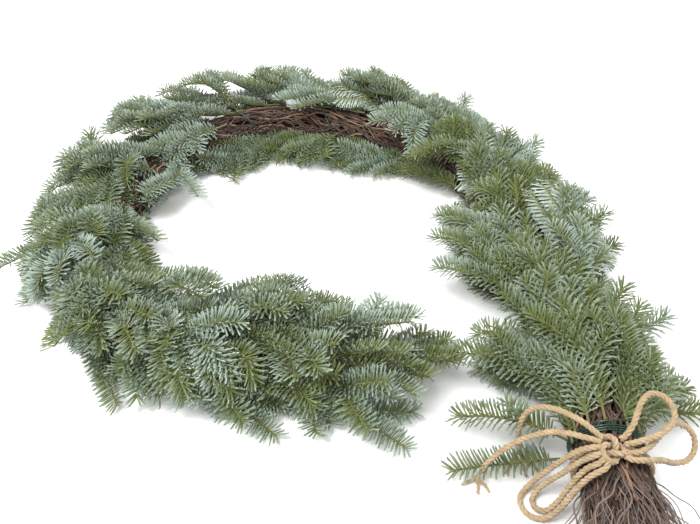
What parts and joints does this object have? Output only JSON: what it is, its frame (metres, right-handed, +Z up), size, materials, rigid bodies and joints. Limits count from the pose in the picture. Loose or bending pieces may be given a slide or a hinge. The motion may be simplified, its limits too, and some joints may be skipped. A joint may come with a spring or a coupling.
{
  "type": "noble fir garland",
  "caption": "Hook-shaped garland of noble fir sprays wired along a twisted vine core, tied at its neck with a jute rope bow.",
  "frame": {"origin": "centre of the plan outline, on the plane that the garland lies on", "axes": "+Z up from that plane; +Y from the cut tail of the vine core towards the top of the hook; +X towards the straight limb"},
  "size_m": [0.8474, 0.9814, 0.1172],
  "materials": {
    "vine": "rough dark brown bark",
    "wire": "green lacquer",
    "jute": "matt twisted natural fibre",
    "fir": "waxy blue-green needles"
  },
  "bodies": {
    "root": {"vine_core": "vine", "binding_wire": "wire", "rope_wrap": "jute", "rope_knot": "jute", "rope_tail_a": "jute", "rope_tail_b": "jute", "bow_loop_left_outer": "jute", "bow_loop_left_inner": "jute", "bow_loop_right_high": "jute", "bow_loop_right_low": "jute", "rope_plies_a": "jute", "rope_plies_b": "jute", "fir_branch_01": "fir", "fir_branch_02": "fir", "fir_branch_03": "fir", "fir_branch_04": "fir", "fir_branch_05": "fir", "fir_branch_06": "fir", "fir_branch_07": "fir", "fir_branch_08": "fir", "fir_branch_09": "fir", "fir_branch_10": "fir", "fir_branch_11": "fir", "fir_branch_12": "fir", "fir_branch_13": "fir", "fir_branch_14": "fir", "fir_branch_15": "fir", "fir_branch_16": "fir", "fir_branch_17": "fir", "fir_branch_18": "fir", "fir_branch_19": "fir", "fir_branch_20": "fir", "fir_branch_21": "fir", "fir_branch_22": "fir", "fir_branch_23": "fir", "fir_branch_24": "fir", "fir_branch_25": "fir", "fir_branch_26": "fir", "fir_branch_27": "fir", "fir_branch_28": "fir", "fir_branch_29": "fir", "fir_branch_30": "fir", "fir_branch_31": "fir", "fir_branch_32": "fir", "fir_branch_33": "fir", "fir_branch_34": "fir", "fir_branch_35": "fir", "fir_branch_36": "fir", "fir_branch_37": "fir", "fir_branch_38": "fir", "fir_branch_39": "fir", "fir_branch_40": "fir", "fir_branch_41": "fir", "fir_branch_42": "fir", "fir_branch_43": "fir", "fir_branch_44": "fir", "fir_branch_45": "fir", "fir_branch_46": "fir"}
  },
  "joints": []
}
